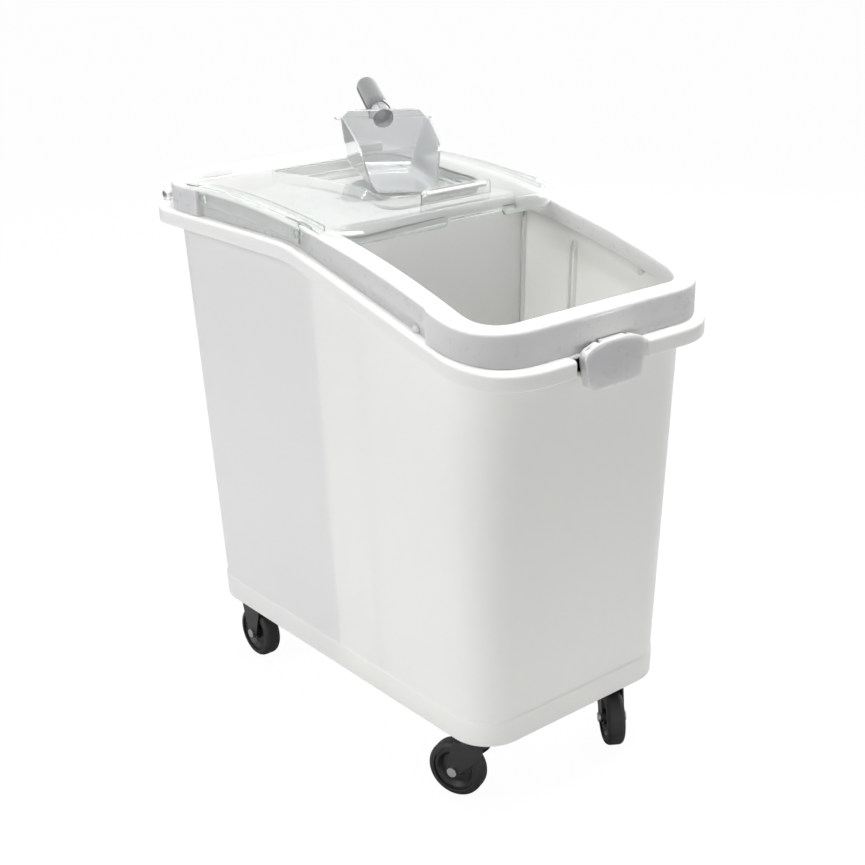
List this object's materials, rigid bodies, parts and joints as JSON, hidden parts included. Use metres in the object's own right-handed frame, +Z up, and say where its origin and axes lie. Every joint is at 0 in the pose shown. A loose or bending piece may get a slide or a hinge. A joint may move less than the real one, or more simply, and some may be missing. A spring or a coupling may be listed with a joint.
{
  "type": "mobile rice bin with sliding clear cover",
  "caption": "Tall tapered white bin on casters, with a hinged slanted top frame, a clear cover that slides down curved tracks, a front pull latch and a clear hand scoop.",
  "frame": {"origin": "centre of the base on the floor", "axes": "+Z up, -Y towards the low front with the latch, X across the bin"},
  "size_m": [0.394, 0.73, 0.8402],
  "materials": {
    "white_shell": "rotationally smooth satin polyethylene",
    "white_frame": "moulded satin",
    "white_latch": "moulded satin",
    "clear_cover": "clear moulded",
    "soft_clear": "cloudy moulded",
    "clear_scoop": "clear moulded",
    "grey_handle": "smoky moulded",
    "pin_steel": "turned",
    "bolt_steel": "zinc plated",
    "black_steel": "black powder coat",
    "black_hub": "moulded",
    "black_tread": "smooth rubber"
  },
  "bodies": {
    "base": {"tub": "white_shell", "partition": "white_shell", "hinge_pins": "pin_steel", "caster_plates": "black_steel", "caster_bolts": "bolt_steel", "fork_rl": "black_steel", "fork_rr": "black_steel", "axle_rl": "bolt_steel", "axle_rr": "bolt_steel"},
    "top_frame": {"frame": "white_frame", "stop_blocks": "soft_clear", "latch_pin": "pin_steel"},
    "cover": {"cover": "clear_cover"},
    "latch": {"latch": "white_latch"},
    "scoop": {"scoop_bowl": "clear_scoop", "scoop_handle": "grey_handle"},
    "swivel_fl": {"fork_fl": "black_steel", "axle_fl": "bolt_steel"},
    "swivel_fr": {"fork_fr": "black_steel", "axle_fr": "bolt_steel"},
    "wheel_fl": {"hub_fl": "black_hub", "tyre_fl": "black_tread"},
    "wheel_fr": {"hub_fr": "black_hub", "tyre_fr": "black_tread"},
    "wheel_rl": {"hub_rl": "black_hub", "tyre_rl": "black_tread"},
    "wheel_rr": {"hub_rr": "black_hub", "tyre_rr": "black_tread"}
  },
  "joints": [
    {"name": "frame_hinge", "type": "hinge", "parent": "base", "child": "top_frame", "pos_m": [0, 0.347, 0.701], "axis": [-1, 0, 0], "range_deg": [0, 98]},
    {"name": "cover_slide", "type": "hinge", "parent": "top_frame", "child": "cover", "pos_m": [0, 0.181, -0.782], "axis": [1, 0, 0], "range_deg": [0, 8.9]},
    {"name": "latch_swing", "type": "hinge", "parent": "top_frame", "child": "latch", "pos_m": [-0.006, -0.358, 0.6095], "axis": [-1, 0, 0], "range_deg": [0, 75]},
    {"name": "scoop_lift", "type": "slide", "parent": "cover", "child": "scoop", "axis": [0, 0, 1], "range_m": [0, 0.2]},
    {"name": "swivel_fl_turn", "type": "hinge", "parent": "base", "child": "swivel_fl", "pos_m": [-0.118, -0.243, 0.09], "axis": [0, 0, 1], "continuous": true},
    {"name": "wheel_fl_spin", "type": "hinge", "parent": "swivel_fl", "child": "wheel_fl", "pos_m": [-0.12811, -0.21797, 0.038], "axis": [0.9272, 0.3746, 0], "continuous": true},
    {"name": "swivel_fr_turn", "type": "hinge", "parent": "base", "child": "swivel_fr", "pos_m": [0.118, -0.243, 0.09], "axis": [0, 0, 1], "continuous": true},
    {"name": "wheel_fr_spin", "type": "hinge", "parent": "swivel_fr", "child": "wheel_fr", "pos_m": [0.1029, -0.26538, 0.038], "axis": [-0.829, 0.5592, 0], "continuous": true},
    {"name": "wheel_rl_spin", "type": "hinge", "parent": "base", "child": "wheel_rl", "pos_m": [-0.118, 0.259, 0.038], "axis": [1, 0, 0], "continuous": true},
    {"name": "wheel_rr_spin", "type": "hinge", "parent": "base", "child": "wheel_rr", "pos_m": [0.118, 0.259, 0.038], "axis": [1, 0, 0], "continuous": true}
  ]
}
